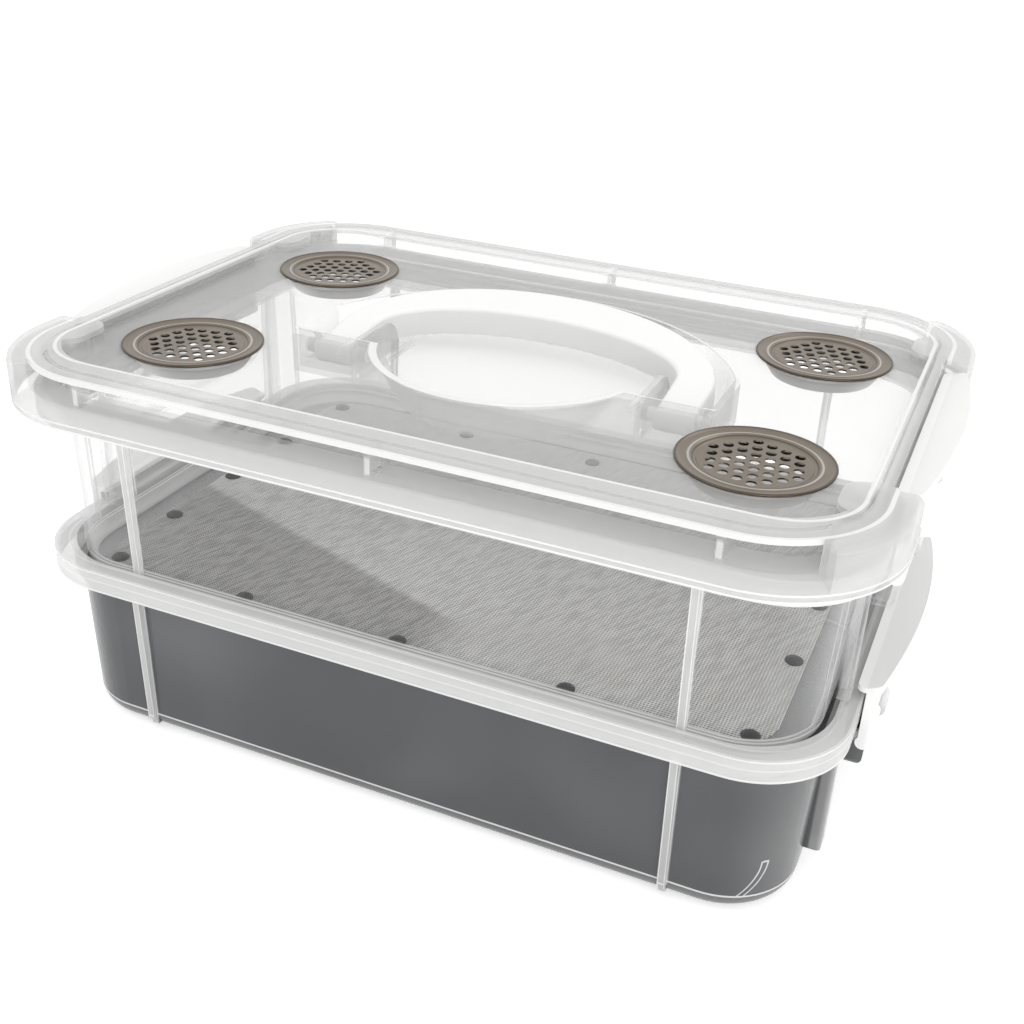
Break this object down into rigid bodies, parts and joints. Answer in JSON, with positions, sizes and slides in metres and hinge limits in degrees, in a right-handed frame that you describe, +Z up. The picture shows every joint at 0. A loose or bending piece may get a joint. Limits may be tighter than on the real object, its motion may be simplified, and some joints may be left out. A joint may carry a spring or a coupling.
{
  "type": "mealworm breeding box",
  "caption": "Two-tier clear breeding box: a mesh-floored sifting tray nests in a deeper box under a clipped lid with vents and a folding carry handle.",
  "frame": {"origin": "middle of the lower box's flat underside, where it stands", "axes": "+X along the long side towards the right-hand latches, +Y towards the back, where the folded handle's grip lies, +Z up"},
  "size_m": [0.3804, 0.2752, 0.1758],
  "materials": {
    "smoky_plastic": "smoky translucent polypropylene",
    "clear_plastic": "clear polypropylene",
    "frosted_plastic": "lightly frosted clear polypropylene",
    "white_plastic": "white moulded polypropylene",
    "stainless_steel": "stamped stainless steel",
    "steel_mesh": "fine woven wire mesh",
    "black_plastic": "black moulded plastic"
  },
  "bodies": {
    "lower_box": {"lower_box": "smoky_plastic"},
    "upper_tray": {"upper_tray": "clear_plastic", "mesh_floor": "steel_mesh", "mesh_rivets": "black_plastic"},
    "lid": {"lid": "frosted_plastic", "vent_cap_front_left": "stainless_steel", "vent_cap_front_right": "stainless_steel", "vent_cap_back_left": "stainless_steel", "vent_cap_back_right": "stainless_steel", "vent_collar_front_left": "stainless_steel", "vent_collar_front_right": "stainless_steel", "vent_collar_back_left": "stainless_steel", "vent_collar_back_right": "stainless_steel"},
    "handle": {"handle": "white_plastic"},
    "tray_latch_left": {"tray_latch_left": "white_plastic"},
    "tray_latch_right": {"tray_latch_right": "white_plastic"},
    "lid_latch_left": {"lid_latch_left": "white_plastic"},
    "lid_latch_right": {"lid_latch_right": "white_plastic"}
  },
  "joints": [
    {"name": "tray_lift", "type": "slide", "parent": "lower_box", "child": "upper_tray", "axis": [0, 0, 1], "range_m": [0, 0.024]},
    {"name": "lid_lift", "type": "slide", "parent": "upper_tray", "child": "lid", "axis": [0, 0, 1], "range_m": [0, 0.028]},
    {"name": "handle_fold", "type": "hinge", "parent": "lid", "child": "handle", "pos_m": [0, -0.014, 0.158], "axis": [1, 0, 0], "range_deg": [0, 80]},
    {"name": "tray_latch_right_swing", "type": "hinge", "parent": "lower_box", "child": "tray_latch_right", "pos_m": [0.1804, 0, 0.064], "axis": [0, 1, 0], "range_deg": [0, 125]},
    {"name": "tray_latch_left_swing", "type": "hinge", "parent": "lower_box", "child": "tray_latch_left", "pos_m": [-0.1804, 0, 0.064], "axis": [0, -1, 0], "range_deg": [0, 125]},
    {"name": "lid_latch_right_swing", "type": "hinge", "parent": "upper_tray", "child": "lid_latch_right", "pos_m": [0.1804, 0, 0.1373], "axis": [0, 1, 0], "range_deg": [0, 125]},
    {"name": "lid_latch_left_swing", "type": "hinge", "parent": "upper_tray", "child": "lid_latch_left", "pos_m": [-0.1804, 0, 0.1373], "axis": [0, -1, 0], "range_deg": [0, 125]}
  ],
  "couplings": [
    {"joint": "tray_latch_right_swing", "follows": "tray_lift", "rad_per_m": 90},
    {"joint": "tray_latch_left_swing", "follows": "tray_lift", "rad_per_m": 90},
    {"joint": "lid_latch_right_swing", "follows": "lid_lift", "rad_per_m": 77.9},
    {"joint": "lid_latch_left_swing", "follows": "lid_lift", "rad_per_m": 77.9}
  ]
}
